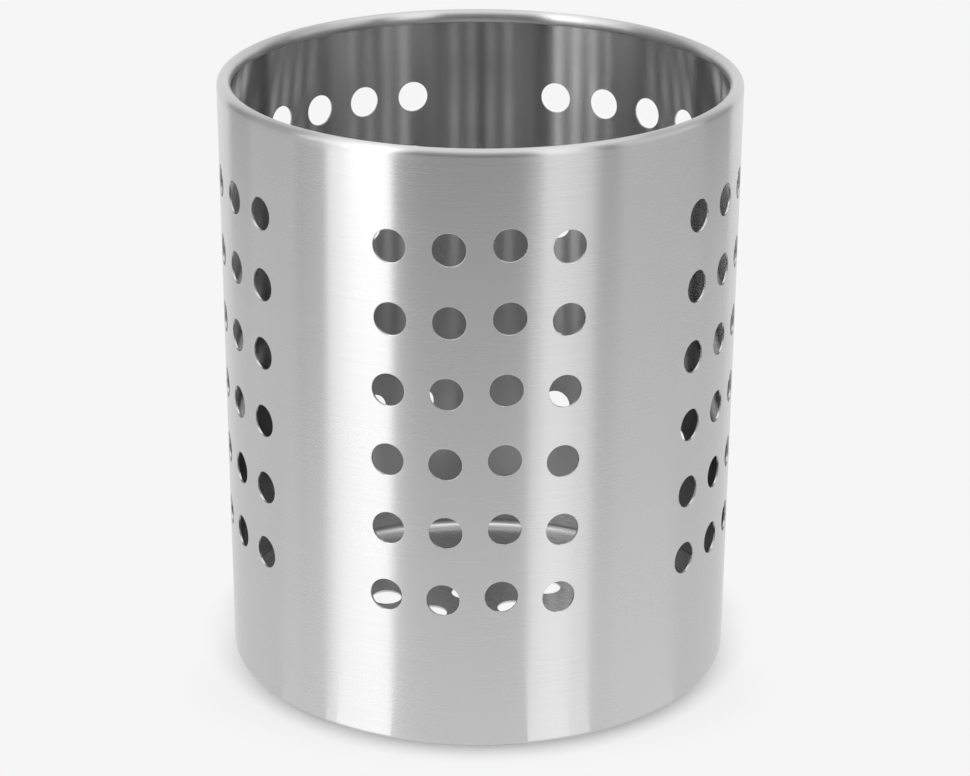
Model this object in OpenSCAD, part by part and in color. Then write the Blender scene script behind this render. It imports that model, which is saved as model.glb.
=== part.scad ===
// Cutlery holder: an open cup of brushed stainless steel. The wall is one strip of sheet, punched,
// rolled, welded along a vertical seam and curled inward at the top. A pressed pan with drain holes
// stands inside its lower end and is welded to it round the foot.
// Millimetres. The cup's axis is Z, it stands on z = 0, and one group of holes faces -Y, the front.

/* [Wall] */
// Outside diameter of the cup
outer_d = 120; // [90:1:160]
// Height from the table to the top of the rim
total_h = 141; // [125:1:180]
// Thickness of the wall's steel sheet
wall_t = 0.5; // [0.4:0.1:1]
// Outside diameter of the curl at the rim
curl_d = 3.2; // [2.8:0.1:6]
// Gap between the curl's tucked-in edge and the wall
curl_gap = 0.3; // [0.1:0.1:0.6]

/* [Seam] */
// Width of the vertical weld that closes the wall
seam_w = 1.2; // [0.8:0.1:3]
// How far the weld stands proud inside, where it isn't ground flush
seam_proud = 0.15; // [0.05:0.05:0.4]

/* [Wall holes] */
// Diameter of a hole in the wall
hole_d = 7.5; // [4:0.1:9]
// Groups of holes round the wall
group_count = 5; // [3:1:7]
// Columns of holes in a group
column_count = 4; // [2:1:5]
// Rows of holes
row_count = 6; // [2:1:7]
// Distance between columns along the wall, centre to centre
column_pitch = 13.1; // [10:0.1:16]
// Distance between rows, centre to centre
row_pitch = 16.5; // [11:0.5:20]
// Distance from the top of the rim down to the centre of the top row
top_row_drop = 22; // [14:0.5:34]
// How much closer the two groups beside the seam are than other neighbours
seam_loss = 2.1; // [0:0.1:6]
// Sideways creep of each row against the row above, along the wall
row_creep = -0.28; // [-0.5:0.02:0.5]
// Sideways jog of the second row and of every third row after it, along the wall
row_jog = 0.35; // [-0.6:0.05:0.6]
// Column of the front group that is punched too high, counted from its left
high_column = 3; // [1:1:4]
// How much too high that column is
column_lift = 1.1; // [0:0.1:2]

/* [Base pan] */
// Thickness of the pan's steel sheet
base_t = 0.5; // [0.4:0.1:1]
// Height of the pan's upturned flange above the table
flange_h = 8; // [5:0.5:12]
// Outside radius of the corner between floor and flange
corner_r = 2.5; // [1.8:0.1:4]
// Gap all round between the flange and the wall
fit_gap = 0.05; // [0.02:0.01:0.2]
// Diameter of a drain hole
drain_d = 7.5; // [4:0.1:9]
// Distance between drain holes in their square grid
drain_pitch = 14.4; // [11:0.1:20]
// Drain holes from the middle one to the end of a grid row, the middle one left out
drain_reach = 2; // [1:1:3]
// Turn of the drain grid about its own middle, in degrees
drain_turn = -36.5; // [-45:0.5:45]
// How far the drain grid's middle lies off the cup's axis, toward the front
drain_shift = 2; // [0:0.5:4]

/* [Foot weld] */
// Height of the weld in the groove between the wall's foot and the pan's corner
foot_weld_h = 0.8; // [0.5:0.1:1.2]
// Width of that weld on the underside
foot_weld_w = 1.3; // [0.9:0.1:1.6]

/* [Hidden] */
$fn = 180;
front = -90;
wall_in_r = outer_d / 2 - wall_t;
pan_r = wall_in_r - fit_gap;
pan_in_r = pan_r - base_t;
curl_r = curl_d / 2;
curl_x = outer_d / 2 - curl_r;
curl_z = total_h - curl_r;
// The curl's edge stops below its centre, at this angle from level, curl_gap short of the wall
curl_end = acos((curl_r - wall_t - curl_gap) / curl_r);
// Degrees round the wall for one millimetre along its outer face
deg_per_mm = 360 / (PI * outer_d);
seam_deg = seam_w * deg_per_mm;
group_pitch = (PI * outer_d + seam_loss) / group_count;
// The last group stands one pitch to the right of the front, and the seam half a gap further on
seam_arc = group_pitch + (group_pitch - seam_loss) / 2;
drain_limit = drain_reach * drain_reach + 1;
// A cut runs this far past the faces it goes through
past = 1;

// Angle about Z of a point that lies arc millimetres to the right of the front
function turn(arc) = front + arc * deg_per_mm;

// Sideways offset of a row along the wall, with the top row as row 0
function row_offset(row) = row * row_creep + (row % 3 == 1 ? row_jog : 0);

// Section of the wall, with the strip and its curl as one sheet
module wall_section() {
    translate([wall_in_r, 0])
        square([wall_t, curl_z]);
    translate([curl_x, curl_z])
        difference() {
            circle(r = curl_r, $fn = 48);
            circle(r = curl_r - wall_t, $fn = 48);
            curl_opening();
        }
}

// Part of the curl's circle that stays open, below its centre on the wall's side
module curl_opening() {
    reach = 2 * curl_d;
    polygon([[0, 0], [reach, 0], [reach, -reach * sin(curl_end)], [reach * cos(curl_end), -reach * sin(curl_end)]]);
}

// One hole through the wall
module wall_hole(arc, z) {
    rotate([0, 0, turn(arc)])
        translate([wall_in_r - past, 0, z])
            rotate([0, 90, 0])
                cylinder(d = hole_d, h = wall_t + 2 * past, $fn = 48);
}

// All the holes of the group whose middle lies arc millimetres from the front
module hole_group(arc, lifted) {
    for (row = [0 : row_count - 1])
        for (column = [0 : column_count - 1])
            wall_hole(
                arc + (column - (column_count - 1) / 2) * column_pitch + row_offset(row),
                total_h - top_row_drop - row * row_pitch
                    + (lifted && column == high_column - 1 ? column_lift : 0)
            );
}

// Rolled wall with its curled rim, open by the width of the seam
module wall_shell() {
    color("#c4c5c6")
    difference() {
        rotate([0, 0, turn(seam_arc) + seam_deg / 2])
            rotate_extrude(angle = 360 - seam_deg)
                wall_section();
        for (group = [2 - group_count : 1])
            hole_group(group * group_pitch, group == 0);
    }
}

// Vertical weld that fills the opening, flush outside and a little proud inside
module seam_weld() {
    proud_from = flange_h + past;
    proud_to = total_h - curl_d - past;
    color("#b4b5b6")
    rotate([0, 0, turn(seam_arc) - seam_deg / 2])
        rotate_extrude(angle = seam_deg) {
            wall_section();
            translate([wall_in_r - seam_proud, proud_from])
                square([seam_proud + wall_t / 2, proud_to - proud_from]);
        }
}

// Outline of the pan's section, shrunk inward by a thickness
module pan_outline(inset) {
    r = corner_r - inset;
    translate([0, inset])
        square([pan_r - corner_r, corner_r - inset]);
    translate([pan_r - corner_r, corner_r])
        intersection() {
            circle(r = r, $fn = 48);
            translate([0, -r])
                square([r, r]);
        }
    translate([0, corner_r])
        square([pan_r - inset, flange_h - corner_r]);
}

// Pressed pan: a flat floor with drain holes, a rounded corner and an upturned flange
module base_pan() {
    color("#bdbec0")
    difference() {
        rotate_extrude()
            pan_outline(0);
        rotate_extrude() {
            pan_outline(base_t);
            translate([0, flange_h - past])
                square([pan_in_r, 2 * past]);
        }
        translate([0, -drain_shift, 0])
            rotate([0, 0, drain_turn])
                for (i = [-drain_reach : drain_reach])
                    for (j = [-drain_reach : drain_reach])
                        if (i * i + j * j <= drain_limit)
                            translate([i * drain_pitch, j * drain_pitch, -past])
                                cylinder(d = drain_d, h = base_t + 2 * past, $fn = 48);
    }
}

// Weld round the foot, in the groove between the wall's lower end and the pan's corner
module foot_weld() {
    color("#a9aaac")
    rotate_extrude()
        difference() {
            translate([wall_in_r - foot_weld_w, 0])
                square([foot_weld_w, foot_weld_h]);
            translate([pan_r - corner_r, corner_r])
                circle(r = corner_r, $fn = 48);
        }
}

wall_shell();
seam_weld();
base_pan();
foot_weld();
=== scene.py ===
"""Looks of a brushed stainless steel cutlery holder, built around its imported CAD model.

Lengths are millimetres until a mesh is made, and metres from there on. The cup's axis is Z and the
middle of the front group of holes faces -Y. A spot on the rolled wall is (arc, z, depth): arc runs
along the outer face to the right of the front, and depth goes inward from that face.
"""

import math

import bpy
import numpy as np
from mathutils import Matrix, Vector

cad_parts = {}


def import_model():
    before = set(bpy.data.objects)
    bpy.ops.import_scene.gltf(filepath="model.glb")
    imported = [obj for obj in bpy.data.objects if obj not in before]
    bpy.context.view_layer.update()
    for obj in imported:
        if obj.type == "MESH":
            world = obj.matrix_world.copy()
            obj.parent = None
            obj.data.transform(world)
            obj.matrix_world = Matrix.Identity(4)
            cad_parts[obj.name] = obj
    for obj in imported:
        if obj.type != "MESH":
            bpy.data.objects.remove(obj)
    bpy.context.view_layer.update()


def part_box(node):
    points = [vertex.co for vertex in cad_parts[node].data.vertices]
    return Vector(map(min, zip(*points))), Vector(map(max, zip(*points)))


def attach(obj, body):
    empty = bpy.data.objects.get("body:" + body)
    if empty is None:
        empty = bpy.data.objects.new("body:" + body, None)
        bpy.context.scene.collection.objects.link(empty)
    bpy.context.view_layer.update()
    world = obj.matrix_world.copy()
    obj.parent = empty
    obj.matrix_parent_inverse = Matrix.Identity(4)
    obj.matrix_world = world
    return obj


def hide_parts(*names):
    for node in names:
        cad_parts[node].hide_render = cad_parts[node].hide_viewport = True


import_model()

# Sizes read from the CAD model
MM = 0.001
OUTER_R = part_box("wall_shell")[1].x / MM
TOTAL_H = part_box("wall_shell")[1].z / MM
PAN_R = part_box("base_pan")[1].x / MM
FLANGE_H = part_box("base_pan")[1].z / MM
FOOT_WELD_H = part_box("foot_weld")[1].z / MM

# Sheet, curl and seam
WALL_T = 0.5
CURL_D = 3.2
CURL_GAP = 0.3
SEAM_W = 1.2
SEAM_PROUD = 0.15

# Holes in the wall: five groups, each a little out of square as it was punched
HOLE_D = 7.5
GROUPS = 5
COLUMNS = 4
ROWS = 6
COLUMN_PITCH = 13.1
ROW_PITCH = 16.5
TOP_ROW_DROP = 22.0
SEAM_LOSS = 2.1
ROW_CREEP = -0.28
ROW_JOG = 0.35
HIGH_COLUMN = 3
COLUMN_LIFT = 1.1

# Pan and its drain holes
BASE_T = 0.5
CORNER_R = 2.5
DRAIN_D = 7.5
DRAIN_PITCH = 14.4
DRAIN_REACH = 2
DRAIN_TURN = math.radians(-36.5)
DRAIN_SHIFT = 2.0
FOOT_WELD_W = 1.3

# Radii that brushing and pressing leave on cut edges
LIP_OUT = 0.12
LIP_IN = 0.06
FOOT_EDGE = 0.25

# Grid steps along one side of a hole's cell, round a lip, and along the curl
CELL_STEPS = 10
LIP_STEPS = 2
CURL_STEPS = 24

# Grid lines below the holes, above them, and round the pan's corner
FOOT_LINES = 5
RIM_LINES = 3
CORNER_LINES = 9

CIRCUMFERENCE = 2 * math.pi * OUTER_R
GROUP_PITCH = (CIRCUMFERENCE + SEAM_LOSS) / GROUPS
SEAM_ARC = GROUP_PITCH + (GROUP_PITCH - SEAM_LOSS) / 2
CURL_R = CURL_D / 2
CURL_Z = TOTAL_H - CURL_R
CURL_TURN = 2 * math.pi - math.acos((CURL_R - WALL_T - CURL_GAP) / CURL_R)
ROW_Z = [TOTAL_H - TOP_ROW_DROP - row * ROW_PITCH for row in range(ROWS)]
CELLS_LOW = ROW_Z[-1] - ROW_PITCH / 2
CELLS_HIGH = ROW_Z[0] + ROW_PITCH / 2


def linear(hex_colour):
    """sRGB hex to linear RGBA."""
    value = np.array([int(hex_colour[i:i + 2], 16) for i in (1, 3, 5)]) / 255
    return (*np.where(value <= 0.04045, value / 12.92, ((value + 0.055) / 1.055) ** 2.4), 1.0)


# Meshes

# Points nearer than this, in millimetres, are one
MERGE = 0.001


def make_piece(name, patches):
    """One object from patches. A patch is (points, normals, places), arrays with a row and a column
    for each line of a grid. Quads join a grid's neighbours and points that lie together are merged,
    which makes a triangle of a quad at a pole. Each face's corner keeps the normal and the UV place
    that its own patch gives."""
    corners, start = [], 0
    for points, _, _ in patches:
        rows, columns = points.shape[:2]
        index = start + np.arange(rows * columns).reshape(rows, columns)
        quads = np.stack([index[:-1, :-1], index[:-1, 1:], index[1:, 1:], index[1:, :-1]], -1)
        corners.append(quads.reshape(-1, 4))
        start += rows * columns
    corners = np.concatenate(corners)
    points = np.concatenate([patch[0].reshape(-1, 3) for patch in patches])
    normals = np.concatenate([patch[1].reshape(-1, 3) for patch in patches])
    places = np.concatenate([patch[2].reshape(-1, 2) for patch in patches])

    a, b, c, d = (points[corners[:, i]] for i in range(4))
    facing = np.einsum("ij,ij->i", np.cross(c - a, d - b), normals[corners].mean(1))
    corners = np.where(facing[:, None] < 0, corners[:, ::-1], corners)
    keys = np.round(points / MERGE).astype(np.int64)
    _, first, merged = np.unique(keys, axis=0, return_index=True, return_inverse=True)
    merged = merged.reshape(-1)[corners]
    kept = merged != np.roll(merged, 1, axis=1)
    kept[kept.sum(1) < 3] = False
    sides = kept.sum(1)
    sides = sides[sides > 0]

    mesh = bpy.data.meshes.new(name)
    mesh.vertices.add(len(first))
    mesh.vertices.foreach_set("co", (points[first] * MM).astype(np.float32).ravel())
    mesh.loops.add(int(sides.sum()))
    mesh.loops.foreach_set("vertex_index", merged[kept].astype(np.int32))
    mesh.polygons.add(len(sides))
    mesh.polygons.foreach_set("loop_start", (np.cumsum(sides) - sides).astype(np.int32))
    mesh.polygons.foreach_set("use_smooth", np.ones(len(sides), bool))
    mesh.update(calc_edges=True)
    sheet = mesh.uv_layers.new(name="sheet")
    sheet.data.foreach_set("uv", (places[corners[kept]] * MM).astype(np.float32).ravel())
    mesh.normals_split_custom_set(normals[corners[kept]].astype(np.float32))
    piece = bpy.data.objects.new(name, mesh)
    bpy.context.scene.collection.objects.link(piece)
    return piece


def on_wall(spot, normal, place=None):
    """Patch of the rolled wall. A spot (arc, z, depth) lies at radius OUTER_R - depth and at the angle
    arc / OUTER_R from the front. A normal is given along the wall, upward and outward. A place is the
    spot on the flat sheet before it was rolled, by default (arc, z)."""
    arc, z, depth, n_arc, n_z, n_out = np.broadcast_arrays(*spot, *normal)
    angle, radius = arc / OUTER_R, OUTER_R - depth
    sine, cosine, level = np.sin(angle), np.cos(angle), np.zeros_like(angle)
    out = np.stack([sine, -cosine, level], -1)
    along = np.stack([cosine, sine, level], -1)
    up = np.array([0.0, 0.0, 1.0])
    points = out * radius[..., None] + up * z[..., None]
    normals = along * n_arc[..., None] + up * n_z[..., None] + out * n_out[..., None]
    places = np.stack(np.broadcast_arrays(*(place or (arc, z)), arc)[:2], -1)
    return points, normals, places


def on_floor(spot, normal, place=None):
    """Patch of the pan's flat floor. A spot (x, y, depth) is taken along the drain grid's axes from the
    cup's axis, with depth going down from the floor's upper face."""
    x, y, depth, n_x, n_y, n_out = np.broadcast_arrays(*spot, *normal)
    cosine, sine = math.cos(DRAIN_TURN), math.sin(DRAIN_TURN)
    points = np.stack([cosine * x - sine * y, sine * x + cosine * y, BASE_T - depth], -1)
    normals = np.stack([cosine * n_x - sine * n_y, sine * n_x + cosine * n_y, n_out], -1)
    places = np.stack(np.broadcast_arrays(*(place or (x, y)), x)[:2], -1)
    return points, normals, places


def swept(angles, section):
    """Section swept round the axis. A section row is (radius, z, normal outward, normal upward), and
    the UV place is the arc at OUTER_R and the length along the section."""
    radius, z, n_out, n_up = (np.array(column)[:, None] for column in zip(*section))
    steps = np.hypot(np.diff(radius, axis=0), np.diff(z, axis=0))
    length = np.concatenate([np.zeros((1, 1)), np.cumsum(steps, axis=0)])
    arcs = np.asarray(angles)[None, :] * OUTER_R
    return on_wall((arcs, z, OUTER_R - radius), (0.0, n_up, n_out), (arcs, length))


def rounded(radius, z, lip, start, steps=LIP_STEPS + 1):
    """Quarter circle of a section's corner, in rows for swept: from the angle start, in degrees from
    outward, turning clockwise about (radius, z)."""
    turns = np.radians(start - np.linspace(0, 90, steps))
    return [(radius + lip * math.cos(t), z + lip * math.sin(t), math.cos(t), math.sin(t)) for t in turns]


# Sheet with punched holes


def outline(x, y):
    """Points once round the rectangle that grid lines x and y fill, and back to the first."""
    along_x, along_y = np.stack([x, 0 * x + y[0]], -1), np.stack([0 * y + x[-1], y], -1)
    back_x, back_y = np.stack([x[::-1], 0 * x + y[-1]], -1), np.stack([0 * y + x[0], y[::-1]], -1)
    return np.concatenate([along_x, along_y[1:], back_x[1:], back_y[1:]])


def face_round_hole(edge, centre, radius, lip, flat_steps):
    """One face of a sheet round a hole: spokes run straight from the cell's edge in to the lip, then
    down a quarter circle of radius lip. Gives the grids x, y and depth, the normal's parts, and the
    place, in which the lip is laid out flat."""
    spoke = edge - centre
    length = np.hypot(spoke[:, 0], spoke[:, 1])
    unit = spoke / length[:, None]
    # Steps grow finer toward the lip
    finer = 1.5
    share = (np.arange(flat_steps, 0, -1) / flat_steps)[:, None] ** finer
    turn = np.linspace(0, math.pi / 2, LIP_STEPS + 1)[:, None]
    start = radius + lip
    flat = start + (length - start) * share
    reach = np.concatenate([flat, start - lip * np.sin(turn) + 0 * length])
    laid = np.concatenate([flat, start - lip * turn + 0 * length])
    turn = np.concatenate([0 * share, turn]) + 0 * length
    x, y = centre[0] + unit[:, 0] * reach, centre[1] + unit[:, 1] * reach
    normal = (-unit[:, 0] * np.sin(turn), -unit[:, 1] * np.sin(turn), np.cos(turn))
    place = (centre[0] + unit[:, 0] * laid, centre[1] + unit[:, 1] * laid)
    return (x, y, lip * (1 - np.cos(turn))), normal, place


def punched_cell(lay, edge, centre, radius, thickness):
    """Both faces of a sheet round one hole and the bore between them. lay is on_wall or on_floor."""
    steps_upper, steps_under = 3, 2
    spot, normal, place = face_round_hole(edge, centre, radius, LIP_OUT, steps_upper)
    under, under_normal, under_place = face_round_hole(edge, centre, radius, LIP_IN, steps_under)
    low = (under[0], under[1], thickness - under[2])
    bore_spot = [np.stack([a[-1], b[-1]]) for a, b in zip(spot, low)]
    bore_normal = [np.stack([a[-1], a[-1]]) for a in normal]
    bore_length = np.array([[0.0], [thickness - LIP_OUT - LIP_IN]])
    bore_place = [a[-1] + n[-1] * bore_length for a, n in zip(place, normal)]
    return [
        lay(spot, normal, place),
        lay(low, (under_normal[0], under_normal[1], -under_normal[2]), under_place),
        lay(bore_spot, bore_normal, bore_place),
    ]


# Wall


def stretches():
    """The wall's stretches of arc between the seam's two sides, as (start, end, group), where group is
    None on the plain stretches."""
    half = COLUMNS * COLUMN_PITCH / 2
    creep = ROW_CREEP * (ROWS - 1) / 2
    here = SEAM_ARC - CIRCUMFERENCE + SEAM_W / 2
    found = []
    for group in range(2 - GROUPS, 2):
        start = group * GROUP_PITCH + creep - half
        found += [(here, start, None), (start, start + 2 * half, group)]
        here = start + 2 * half
    return found + [(here, SEAM_ARC - SEAM_W / 2, None)]


def foot_section():
    """The wall's lower edge, from its outer face round to its inner one."""
    inner = OUTER_R - WALL_T
    outer_edge = rounded(OUTER_R - FOOT_EDGE, FOOT_EDGE, FOOT_EDGE, 0, FOOT_LINES)
    return outer_edge + rounded(inner + LIP_IN, LIP_IN, LIP_IN, -90)


def curl_sections():
    """The curl's outer face, over the top and round inward, its cut edge, and its inner face."""
    middle = OUTER_R - CURL_R
    turns = np.linspace(0, CURL_TURN, CURL_STEPS + 1)
    faces = []
    for radius, side in ((CURL_R, 1), (CURL_R - WALL_T, -1)):
        faces.append([
            (middle + radius * cosine, CURL_Z + radius * sine, side * cosine, side * sine)
            for cosine, sine in zip(np.cos(turns), np.sin(turns))
        ])
    edge_normal = (-math.sin(CURL_TURN), math.cos(CURL_TURN))
    edge = [(*face[-1][:2], *edge_normal) for face in faces]
    return faces[0], edge, faces[1]


def ends_of_sheet(angles):
    """The foot's edge and the curl along a stretch of the wall."""
    return [swept(angles, foot_section())] + [swept(angles, section) for section in curl_sections()]


def levels(low, rows_z):
    """Grid levels of a face, from the foot's edge through rows_z up to the curl's start."""
    below = np.linspace(low, rows_z[0], FOOT_LINES)
    above = np.linspace(rows_z[-1], CURL_Z, RIM_LINES)
    return np.concatenate([below, rows_z[1:], above[1:]])


def plain_stretch(arcs, rows_z, bead=None):
    """An unpunched stretch of the wall: both faces, the foot's edge and the curl. bead gives the inner
    face's rise and its slopes along the wall and upward, for the weld."""
    patches = ends_of_sheet(arcs / OUTER_R)
    patches.append(on_wall((arcs[None, :], levels(FOOT_EDGE, rows_z)[:, None], 0.0), (0.0, 0.0, 1.0)))
    z = levels(LIP_IN, rows_z)[:, None]
    rise, along, up = bead(arcs[None, :], z) if bead else (0.0, 0.0, 0.0)
    scale = 1 / np.sqrt(1 + np.square(along) + np.square(up))
    patches.append(on_wall((arcs[None, :], z, WALL_T + rise), (-along * scale, -up * scale, -scale)))
    return patches


def cut_end(arc, side, rows_z):
    """The sheet's cut edge at the seam, at one arc, facing along the wall in the direction side."""
    outer, _, inner = curl_sections()
    foot = foot_section()
    out_z, in_z = levels(FOOT_EDGE, rows_z), levels(LIP_IN, rows_z)
    strips = [
        (out_z, 0 * out_z, in_z, 0 * in_z + WALL_T),
        ([row[1] for row in outer], [OUTER_R - row[0] for row in outer],
         [row[1] for row in inner], [OUTER_R - row[0] for row in inner]),
        ([row[1] for row in foot], [OUTER_R - row[0] for row in foot],
         [foot[-1][1]] * len(foot), [OUTER_R - foot[-1][0]] * len(foot)),
    ]
    patches = []
    for z_out, depth_out, z_in, depth_in in strips:
        z, depth = np.stack([z_out, z_in]), np.stack([depth_out, depth_in])
        patches.append(on_wall((arc, z, depth), (side, 0.0, 0.0), (depth, z)))
    return patches


def hole_centre(group, row, column):
    """Arc and height of a hole's centre. The rows creep sideways, with a jog in the middle one of every
    three, and one column of the front group was punched too high."""
    lift = COLUMN_LIFT if group == 0 and column == HIGH_COLUMN - 1 else 0.0
    slide = row * ROW_CREEP + (ROW_JOG if row % 3 == 1 else 0.0)
    arc = group * GROUP_PITCH + (column - (COLUMNS - 1) / 2) * COLUMN_PITCH + slide
    return np.array([arc, ROW_Z[row] + lift])


def punched_stretch(arcs, rows_z, group):
    """A stretch of the wall with one group of holes, each in a cell of the grid."""
    patches = ends_of_sheet(arcs / OUTER_R)
    for depth, side, low in ((0.0, 1.0, FOOT_EDGE), (WALL_T, -1.0, LIP_IN)):
        below = np.linspace(low, rows_z[0], FOOT_LINES)
        above = np.linspace(rows_z[-1], CURL_Z, RIM_LINES)
        for z in (below, above):
            patches.append(on_wall((arcs[None, :], z[:, None], depth), (0.0, 0.0, side)))
    for row in range(ROWS):
        top = (ROWS - row) * CELL_STEPS
        for column in range(COLUMNS):
            left = column * CELL_STEPS
            edge = outline(arcs[left:left + CELL_STEPS + 1], rows_z[top - CELL_STEPS:top + 1])
            patches += punched_cell(on_wall, edge, hole_centre(group, row, column), HOLE_D / 2, WALL_T)
    return patches


def wall():
    """The perforated wall with its curled rim: one closed sheet."""
    plain_step = 1.9
    rows_z = np.linspace(CELLS_LOW, CELLS_HIGH, ROWS * CELL_STEPS + 1)
    patches = []
    for start, end, group in stretches():
        if group is None:
            lines = round((end - start) / plain_step) + 1
            patches += plain_stretch(np.linspace(start, end, lines), rows_z)
        else:
            patches += punched_stretch(np.linspace(start, end, COLUMNS * CELL_STEPS + 1), rows_z, group)
    first, last = stretches()[0][0], stretches()[-1][1]
    return make_piece("wall", patches + cut_end(first, -1.0, rows_z) + cut_end(last, 1.0, rows_z))


def seam():
    """The weld that closes the wall: ground flush outside, and a low rippled bead inside."""
    ripple_pitch, ripple, end_run = 0.9, 0.012, 2.0
    steps_per_ripple, lines_across = 6, 9
    low, high = FLANGE_H + 1, TOTAL_H - CURL_D - 1

    def bead(arc, z):
        """Rise and slopes of a bead whose section is a cosine hump, rippled along its length."""
        across = math.pi * (arc - SEAM_ARC) / SEAM_W
        turn = 2 * math.pi * z / ripple_pitch
        ends = np.clip((z - low) / end_run, 0, 1) * np.clip((high - z) / end_run, 0, 1)
        rise = (SEAM_PROUD + ripple * np.cos(turn)) * np.cos(across) ** 2 * ends
        along = -(SEAM_PROUD + ripple * np.cos(turn)) * np.sin(2 * across) * math.pi / SEAM_W * ends
        up = -ripple * np.sin(turn) * 2 * math.pi / ripple_pitch * np.cos(across) ** 2 * ends
        return rise, along, up

    rows_z = np.linspace(low, high, round((high - low) / ripple_pitch) * steps_per_ripple + 1)
    start, end = SEAM_ARC - SEAM_W / 2, SEAM_ARC + SEAM_W / 2
    patches = plain_stretch(np.linspace(start, end, lines_across), rows_z, bead)
    return make_piece("seam", patches + cut_end(start, -1.0, rows_z) + cut_end(end, 1.0, rows_z))


# Base


def pan():
    """The pressed pan: a flat floor with drain holes, a rounded corner and an upturned flange."""
    cells = 2 * DRAIN_REACH + 1
    half = cells * DRAIN_PITCH / 2
    steps = np.linspace(-half, half, cells * CELL_STEPS + 1)
    middle = -DRAIN_SHIFT * np.array([math.sin(DRAIN_TURN), math.cos(DRAIN_TURN)])
    lines_x, lines_y = middle[0] + steps, middle[1] + steps
    faces = ((0.0, 1.0), (BASE_T, -1.0))
    ring_lines = 5
    patches = []
    for column in range(cells):
        for row in range(cells):
            x = lines_x[column * CELL_STEPS:(column + 1) * CELL_STEPS + 1]
            y = lines_y[row * CELL_STEPS:(row + 1) * CELL_STEPS + 1]
            i, j = column - DRAIN_REACH, row - DRAIN_REACH
            if i * i + j * j <= DRAIN_REACH ** 2 + 1:
                centre = middle + np.array([i, j]) * DRAIN_PITCH
                patches += punched_cell(on_floor, outline(x, y), centre, DRAIN_D / 2, BASE_T)
            else:
                for depth, side in faces:
                    patches.append(on_floor((x[:, None], y[None, :], depth), (0.0, 0.0, side)))

    # From the grid's square edge to the corner's start, ruled along the radii
    edge = outline(lines_x, lines_y)
    angle = np.unwrap(np.arctan2(edge[:, 1], edge[:, 0]))
    flat_r = PAN_R - CORNER_R
    share = np.linspace(0, 1, ring_lines)[:, None, None]
    ring = edge * (1 - share) + flat_r * np.stack([np.cos(angle), np.sin(angle)], -1) * share
    for depth, side in faces:
        patches.append(on_floor((ring[..., 0], ring[..., 1], depth), (0.0, 0.0, side)))

    # The wall's arc starts at -Y, a quarter turn before the x axis where the grid's angles start
    around = angle + DRAIN_TURN + math.pi / 2
    outer = rounded(flat_r, CORNER_R, CORNER_R, 0, CORNER_LINES)[::-1]
    hollow = rounded(flat_r, CORNER_R, CORNER_R - BASE_T, 0, CORNER_LINES)
    inner = [(r, z, -n_out, -n_up) for r, z, n_out, n_up in hollow]
    top = rounded(PAN_R - LIP_OUT, FLANGE_H - LIP_OUT, LIP_OUT, 90)[::-1]
    top_in = rounded(PAN_R - BASE_T + LIP_IN, FLANGE_H - LIP_IN, LIP_IN, 180)[::-1]
    return make_piece("pan", patches + [swept(around, outer + top + top_in + inner)])


def foot_weld():
    """The weld in the groove between the wall's foot and the pan's corner, as a closed ring."""
    inner_r = OUTER_R - WALL_T
    middle = PAN_R - CORNER_R
    reach = inner_r - FOOT_WELD_W
    low_turn = math.acos((reach - middle) / CORNER_R)
    top_turn = math.asin((CORNER_R - FOOT_WELD_H) / CORNER_R)
    groove_lines, lines_round = 7, 361
    turns = np.linspace(-low_turn, -top_turn, groove_lines)
    groove = [
        (middle + CORNER_R * math.cos(t), CORNER_R + CORNER_R * math.sin(t), -math.cos(t), -math.sin(t))
        for t in turns
    ]
    top = [(groove[-1][0], FOOT_WELD_H, 0.0, 1.0), (inner_r, FOOT_WELD_H, 0.0, 1.0)]
    side = [(inner_r, FOOT_WELD_H, 1.0, 0.0), (inner_r, 0.0, 1.0, 0.0)]
    low = [(inner_r, 0.0, 0.0, -1.0), (reach, 0.0, 0.0, -1.0)]
    cut = [(reach, 0.0, -1.0, 0.0), (*groove[0][:2], -1.0, 0.0)]
    angles = np.linspace(0, 2 * math.pi, lines_round)
    return make_piece("weld_ring", [swept(angles, section) for section in (groove, top, side, low, cut)])


# Metals

# Sockets of a Mix node that mixes colours
MIX_A, MIX_B, MIX_OUT = 6, 7, 2


def add(tree, kind, values=None, links=None, **settings):
    """A node with its settings, the values of its sockets, and links from other nodes into it."""
    node = tree.nodes.new(kind)
    for name, value in settings.items():
        setattr(node, name, value)
    for socket, value in (values or {}).items():
        node.inputs[socket].default_value = value
    for socket, source in (links or {}).items():
        tree.links.new(source, node.inputs[socket])
    return node


def new_tree(name):
    """A new material and its empty node tree."""
    material = bpy.data.materials.new(name)
    material.use_nodes = True
    material.node_tree.nodes.clear()
    return material, material.node_tree


def number(tree, operation, *terms):
    """The output of a Math node whose terms are sockets or plain numbers."""
    node = add(tree, "ShaderNodeMath", operation=operation)
    for socket, term in zip(node.inputs, terms):
        if isinstance(term, (int, float)):
            socket.default_value = term
        else:
            tree.links.new(term, socket)
    return node.outputs[0]


def ramp(tree, value, start, end, low=0.0, high=1.0, shape="LINEAR"):
    """A value that goes from low, where the given one is at start, to high at end, and holds beyond."""
    ends = {"From Min": start, "From Max": end, "To Min": low, "To Max": high}
    node = add(tree, "ShaderNodeMapRange", ends, {"Value": value}, interpolation_type=shape)
    return node.outputs["Result"]


def blend(tree, share, first, second):
    """A colour between two, each a socket or a plain colour. A share of 1 gives the second."""
    node = add(tree, "ShaderNodeMix", None, {0: share}, data_type="RGBA")
    for socket, colour in ((MIX_A, first), (MIX_B, second)):
        if isinstance(colour, tuple):
            node.inputs[socket].default_value = colour
        else:
            tree.links.new(colour, node.inputs[socket])
    return node.outputs[MIX_OUT]


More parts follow.
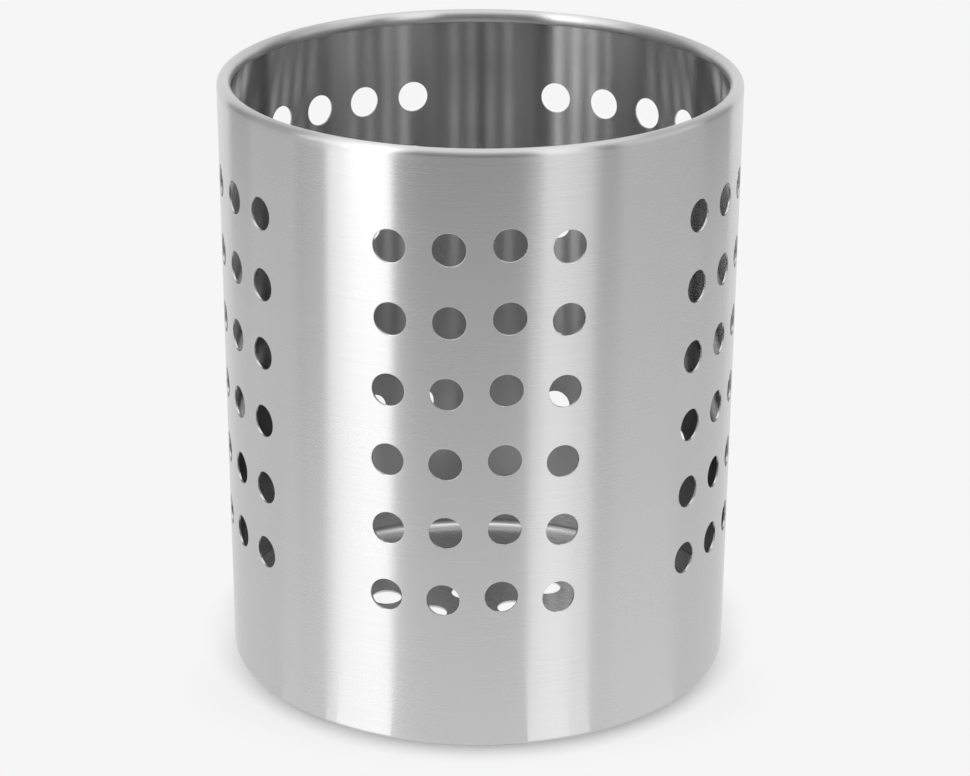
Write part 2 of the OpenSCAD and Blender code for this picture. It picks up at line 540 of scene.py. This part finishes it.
def times(tree, vector, factors):
    """A vector with each of its three parts multiplied."""
    return add(tree, "ShaderNodeVectorMath", {1: factors}, {0: vector}, operation="MULTIPLY").outputs[0]


def distance(tree, vector):
    """A vector's length."""
    return add(tree, "ShaderNodeVectorMath", None, {0: vector}, operation="LENGTH").outputs["Value"]


def sheet_lines(tree, place, stretch, detail, roughness):
    """Noise drawn out into lines along the sheet."""
    lines = add(tree, "ShaderNodeMapping", {"Scale": stretch}, {"Vector": place})
    noise = {"Scale": 1.0, "Detail": detail, "Roughness": roughness}
    return add(tree, "ShaderNodeTexNoise", noise, {"Vector": lines.outputs["Vector"]}).outputs[0]


# Depth of the finest relief, in metres
RELIEF = 0.00002

# Roughness of the brushed sheet, and what a line and a cloudy patch add to it
BRUSHED_ROUGH = 0.245
LINE_ROUGH = 0.03
CLOUD_ROUGH = 0.02

# Changes of that roughness: the share taken off it inside the cup, and the factor on the curl
INSIDE_LESS = 0.3
CURL_FACTOR = 1.2

# Lines and cloudy patches for each metre, and range of the noise that takes up the tone's change
BRUSHED_LINES = (25, 3300, 1)
CLOUDS = 50.0
TONE_FROM, TONE_TO = 0.3, 0.7

# The pan's lines for each metre, and its roughness between and on them
SATIN_LINES = (60, 2500, 1)
SATIN_ROUGH = (0.25, 0.31)


def brushed(name, dark, light):
    """18/8 stainless steel, brushed along the sheet's length. The lines run round the cup, so every
    light spreads into a tall soft band, and fine streaks of tone and gloss follow the lines."""
    material, tree = new_tree(name)
    place = add(tree, "ShaderNodeUVMap", uv_map="sheet").outputs["UV"]
    # Lines about 0.3 mm wide and 40 mm long: real ones are finer, and wouldn't show at this size
    grain = sheet_lines(tree, place, BRUSHED_LINES, 4.0, 0.6)
    # Cloudy patches some 20 mm across, left by uneven pressure of the belt
    cloud = add(tree, "ShaderNodeTexNoise", {"Scale": CLOUDS, "Detail": 3.0}, {"Vector": place})
    # The inner face, which the belt reached less, is smoother, and its colour is darkened as painted
    # shade for the dim inside of the cup
    spot = add(tree, "ShaderNodeTexCoord").outputs["Object"]
    level = add(tree, "ShaderNodeSeparateXYZ", None, {0: spot}).outputs["Z"]
    reach = distance(tree, times(tree, spot, (1, 1, 0)))
    within = number(tree, "LESS_THAN", reach, (OUTER_R - WALL_T / 2) * MM)
    below = number(tree, "LESS_THAN", level, (TOTAL_H - CURL_D) * MM)
    inside = number(tree, "MULTIPLY", within, below)
    colour = blend(tree, ramp(tree, grain, TONE_FROM, TONE_TO), linear(dark), linear(light))
    # Painted shade: the inner face gets a darker colour for the shade inside the cup
    colour = blend(tree, inside, colour, linear("#C0C0C0"))
    # The curl is duller: its steel was stretched, and brushed before that
    curl = ramp(tree, level, (TOTAL_H - CURL_D) * MM, CURL_Z * MM, 1.0, CURL_FACTOR, "SMOOTHSTEP")
    finish = number(tree, "MULTIPLY_ADD", inside, -INSIDE_LESS, curl)
    gloss = number(tree, "MULTIPLY_ADD", grain, LINE_ROUGH, BRUSHED_ROUGH)
    gloss = number(tree, "MULTIPLY_ADD", cloud.outputs[0], CLOUD_ROUGH, gloss)
    rough = number(tree, "MULTIPLY", gloss, finish)
    bump = add(tree, "ShaderNodeBump", {"Strength": 0.018, "Distance": RELIEF}, {"Height": grain})
    along = add(tree, "ShaderNodeTangent", direction_type="UV_MAP", uv_map="sheet")
    steel = add(tree, "ShaderNodeBsdfPrincipled",
                {"Metallic": 1.0, "Anisotropic": 1.0, "Anisotropic Rotation": 0.25},
                {"Base Color": colour, "Roughness": rough,
                 "Normal": bump.outputs["Normal"], "Tangent": along.outputs["Tangent"]})
    add(tree, "ShaderNodeOutputMaterial", None, {"Surface": steel.outputs["BSDF"]})
    return material


def satin_stainless():
    """The same steel as it comes from the press: a dull mill finish with a faint rolled grain."""
    material, tree = new_tree("satin_stainless_steel")
    place = add(tree, "ShaderNodeUVMap", uv_map="sheet").outputs["UV"]
    grain = sheet_lines(tree, place, SATIN_LINES, 3.0, 0.5)
    colour = blend(tree, grain, linear("#C6C6C6"), linear("#D0D0D0"))
    rough = ramp(tree, grain, 0.0, 1.0, *SATIN_ROUGH)
    bump = add(tree, "ShaderNodeBump", {"Strength": 0.2, "Distance": RELIEF}, {"Height": grain})
    steel = add(tree, "ShaderNodeBsdfPrincipled", {"Metallic": 1.0},
                {"Base Color": colour, "Roughness": rough, "Normal": bump.outputs["Normal"]})
    add(tree, "ShaderNodeOutputMaterial", None, {"Surface": steel.outputs["BSDF"]})
    return material


# Studio

PAPER = "#F6F6F6"


def seen_directly(tree):
    """1 for rays that show a thing as it is: from the camera, mirrored in metal or through glass. The
    second output is 1 for mirrored rays only."""
    path = add(tree, "ShaderNodeLightPath").outputs
    mirrored = path["Is Glossy Ray"]
    direct = number(tree, "MAXIMUM", path["Is Camera Ray"], mirrored)
    return number(tree, "MAXIMUM", direct, path["Is Transmission Ray"]), mirrored


def world(diffuse_level):
    """Pale paper colour all round, and a plain grey level for the light that it gives."""
    surroundings = bpy.data.worlds.new("studio")
    bpy.context.scene.world = surroundings
    surroundings.use_nodes = True
    tree = surroundings.node_tree
    tree.nodes.clear()
    paper = add(tree, "ShaderNodeBackground", {"Color": linear(PAPER)})
    light = add(tree, "ShaderNodeBackground", {"Color": linear(PAPER), "Strength": diffuse_level})
    either = add(tree, "ShaderNodeMixShader", None,
                 {0: seen_directly(tree)[0], 1: light.outputs[0], 2: paper.outputs[0]})
    add(tree, "ShaderNodeOutputWorld", None, {"Surface": either.outputs[0]})


def stage_piece(name, points, faces, material):
    """A piece of the set, which isn't part of the object."""
    mesh = bpy.data.meshes.new(name)
    mesh.from_pydata(points, [], faces)
    mesh.materials.append(material)
    thing = bpy.data.objects.new(name, mesh)
    bpy.context.scene.collection.objects.link(thing)
    return thing


# The floor's shadow, in metres: the dark line at the foot ends at the radius LINE_END. It is at its
# full share from LINE_AHEAD in front of the axis and behind it, and at LINE_ASIDE beside the axis
LINE_END = 0.0695
LINE_AHEAD = 0.05
LINE_ASIDE = 0.3

# Faint oval in front of the cup: its half sizes, how far in front of the axis its middle lies, the
# share of the shadow that it shows, and how much of it, from the middle out, shows that in full
OVAL_X = 0.076
OVAL_Y = 0.042
OVAL_MIDDLE = 0.030
OVAL_SHARE = 0.1
OVAL_CORE = 0.7

# Half the width of the table top, in metres
TABLE_HALF = 4.0


def floor():
    """Pale table. Close to the foot, in front and behind, it takes the cup's shadow. Elsewhere, and in
    what the metal mirrors, it shows as plain paper."""
    material, tree = new_tree("matt_white_board")
    place = add(tree, "ShaderNodeTexCoord").outputs["Object"]
    reach = distance(tree, place)
    close = number(tree, "POWER", ramp(tree, reach, LINE_END, OUTER_R * MM), 2.0)
    depth = number(tree, "ABSOLUTE", add(tree, "ShaderNodeSeparateXYZ", None, {0: place}).outputs["Y"])
    ahead = ramp(tree, depth, 0.0, LINE_AHEAD, LINE_ASIDE, 1.0, "SMOOTHSTEP")
    line = number(tree, "MULTIPLY", close, ahead)
    moved = add(tree, "ShaderNodeMapping", {"Location": (0, OVAL_MIDDLE, 0)}, {"Vector": place})
    oval = distance(tree, times(tree, moved.outputs[0], (1 / OVAL_X, 1 / OVAL_Y, 0)))
    faint = ramp(tree, oval, 1.0, OVAL_CORE, 0.0, OVAL_SHARE, "SMOOTHSTEP")
    lit = number(tree, "SUBTRACT", 1.0, number(tree, "MAXIMUM", line, faint))
    # Through the drain holes the table shows as plain paper too
    under = number(tree, "LESS_THAN", reach, (PAN_R - CORNER_R) * MM)
    direct, mirrored = seen_directly(tree)
    plain = number(tree, "MAXIMUM", number(tree, "MAXIMUM", lit, under), mirrored)
    board = add(tree, "ShaderNodeBsdfDiffuse", {"Color": linear(PAPER)})
    paper = add(tree, "ShaderNodeEmission", {"Color": linear(PAPER)})
    either = add(tree, "ShaderNodeMixShader", None,
                 {0: number(tree, "MULTIPLY", plain, direct), 1: board.outputs[0], 2: paper.outputs[0]})
    add(tree, "ShaderNodeOutputMaterial", None, {"Surface": either.outputs[0]})
    half = TABLE_HALF
    corners = [(-half, -half, 0), (half, -half, 0), (half, half, 0), (-half, half, 0)]
    stage_piece("table_top", corners, [(0, 1, 2, 3)], material)


def for_metal_only(sheet):
    """Mirrored in metal, and otherwise out of the picture: no part of the floor's light or shadow."""
    sheet.visible_camera = sheet.visible_diffuse = sheet.visible_shadow = False


def even_glow(name, level):
    """Material that shows as one even grey. A level of 1 is white."""
    material, tree = new_tree(name)
    glow = add(tree, "ShaderNodeEmission", {"Color": (level, level, level, 1.0)})
    add(tree, "ShaderNodeOutputMaterial", None, {"Surface": glow.outputs[0]})
    return material


def panel(name, azimuths, radii, heights, level):
    """Even panel of the light tent, one strip of a round wall or ring. Only metal sees it."""
    degrees_per_column = 3
    columns = round((azimuths[1] - azimuths[0]) / degrees_per_column) + 1
    azimuth = np.radians(np.linspace(*azimuths, columns))[None, :]
    radius, height = np.array(radii)[:, None], np.array(heights)[:, None]
    azimuth, radius, height = np.broadcast_arrays(azimuth, radius, height)
    points = np.stack([np.sin(azimuth) * radius, -np.cos(azimuth) * radius, height], -1)
    first = np.arange(columns - 1)
    faces = np.stack([first, first + columns, first + columns + 1, first + 1], -1)
    for_metal_only(stage_piece(name, points.reshape(-1, 3), faces, even_glow(name, level)))


# The tent's wall stands at TENT_R. Its softboxes start at SKIRT, and its cover hangs at TENT_TOP
TENT_R = 0.5
SKIRT = 0.14
SHEET_H = 0.42
TENT_H = 1.0
TENT_TOP = 0.8


def light_tent():
    """Round tent of softboxes, grey sheets and black flags. Azimuths are degrees to the right of the
    front, and a level of 1 is white."""
    for name, start, end, low, high, level in (
        ("softbox_left", -55, -35, SKIRT, TENT_H, 3.2),
        ("softbox_left_edge", -64, -55, SKIRT, TENT_H, 1.7),
        ("softbox_left_wing", -80, -64, SKIRT, TENT_H, 1.7),
        ("softbox_left_foot", -64, -35, 0.0, SKIRT, 1.8),
        ("sheet_front", -35, 24, SKIRT, TENT_H, 0.2),
        ("flag_front_foot", -35, 25, 0.0, SKIRT, 0.0),
        ("softbox_right", 24, 43, SKIRT, TENT_H, 1.7),
        ("softbox_right_edge", 43, 49, SKIRT, TENT_H, 1.4),
        ("softbox_right_foot", 25, 47, 0.0, SKIRT, 0.6),
        ("sheet_right_gap", 49, 58, SKIRT, TENT_H, 0.15),
        ("sheet_right", 58, 105, SKIRT, SHEET_H, 1.2),
        ("sheet_right_top", 58, 105, SHEET_H, TENT_H, 0.7),
        ("sheet_right_foot", 47, 130, 0.0, SKIRT, 0.3),
        ("sheet_right_back", 105, 130, SKIRT, TENT_H, 0.5),
        ("backdrop", 130, 230, 0.0, TENT_H, 1.0),
        ("sheet_left_back", -130, -110, 0.0, TENT_H, 0.4),
        ("sheet_left", -110, -80, 0.0, TENT_H, 0.6),
        ("flag_left_foot", -80, -64, 0.0, SKIRT, 0.0),
    ):
        panel(name, (start, end), (TENT_R, TENT_R), (low, high), level)
    panel("sheet_overhead", (-180, 180), (0.0, TENT_R), (TENT_TOP, TENT_TOP), 1.5)


def reflector(name, start, end, reach, level):
    """Card on the table that only metal sees. The wall from azimuth start to end mirrors it toward the
    camera: from the foot it reaches out at twice the wall's azimuth, as a mirrored ray does."""
    columns, clear_of_table = 9, 0.0005
    azimuth = np.radians(np.linspace(start, end, columns))
    foot = np.stack([np.sin(azimuth), -np.cos(azimuth)], -1) * OUTER_R * MM
    far = foot + np.stack([np.sin(2 * azimuth), -np.cos(2 * azimuth)], -1) * reach
    points = np.concatenate([foot, far])
    points = np.column_stack([points, np.full(len(points), clear_of_table)])
    first = np.arange(columns - 1)
    faces = np.stack([first, first + columns, first + columns + 1, first + 1], -1)
    for_metal_only(stage_piece(name, points, faces, even_glow(name, level)))


def cards():
    """The reflectors, from left to right. Azimuths are the wall's, a reach is in metres, and a level
    of 1 is white."""
    for name, start, end, reach, level in (
        ("reflector_left_wing", -50, -36, 0.13, 1.01),
        ("reflector_left_edge", -36, -33, 0.3, 1.3),
        ("reflector_left", -33, -19.5, 0.3, 1.6),
        ("reflector_front", -19.5, 11, 0.1, 1.05),
        ("reflector_right", 11, 20.5, 0.3, 1.46),
        ("reflector_right_edge", 20.5, 25.5, 0.3, 1.32),
        ("reflector_right_wing", 25.5, 50, 0.13, 1.03),
    ):
        reflector(name, start, end, reach, level)


# Camera, fitted to the photographed rim, foot and rows of holes

# Place in metres, turns in radians
CAMERA_BACK = 0.61508
CAMERA_UP = 0.31216
PITCH = 0.40631
YAW = 0.00238
ROLL = 0.00491

# Focal length and sensor in millimetres, the picture in pixels
LENS = 103.05
SENSOR_WIDTH = 36
PRINCIPAL_DROP = 62
IMAGE_WIDTH = 970


def camera():
    """Camera looking down on the cup from the front, with a small upward shift for the framing."""
    data = bpy.data.cameras.new("camera")
    data.sensor_width = SENSOR_WIDTH
    data.lens = LENS
    data.shift_y = PRINCIPAL_DROP / IMAGE_WIDTH
    eye = bpy.data.objects.new("camera", data)
    bpy.context.scene.collection.objects.link(eye)
    level = math.cos(PITCH)
    forward = Vector((math.sin(YAW) * level, math.cos(YAW) * level, -math.sin(PITCH)))
    right = Vector((math.cos(YAW), -math.sin(YAW), 0))
    up = right.cross(forward)
    x_axis = right * math.cos(ROLL) + up * math.sin(ROLL)
    y_axis = -right * math.sin(ROLL) + up * math.cos(ROLL)
    turn = Matrix((x_axis, y_axis, -forward)).transposed()
    eye.matrix_world = Matrix.Translation((0, -CAMERA_BACK, CAMERA_UP)) @ turn.to_4x4()
    bpy.context.scene.camera = eye


# The whole scene

camera()
wall_metal = brushed("brushed_stainless_steel", "#C6C6C6", "#CACACA")
# Weld metal, ground and brushed over with the sheet: a shade darker, with a trace of straw heat tint
weld_metal = brushed("dressed_stainless_weld", "#C0C0BF", "#C6C5C3")
for piece, node, slot, metal in (
    (wall(), "wall_shell", "brushed_wall", wall_metal),
    (seam(), "seam_weld", "dressed_weld", weld_metal),
    (pan(), "base_pan", "satin_base", satin_stainless()),
    (foot_weld(), "foot_weld", "dressed_weld", weld_metal),
):
    piece.data.materials.append(metal)
    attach(piece, "root")
    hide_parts(node)

world(diffuse_level=0.5)
floor()
light_tent()
cards()

scene = bpy.context.scene
scene.view_settings.view_transform = "Standard"
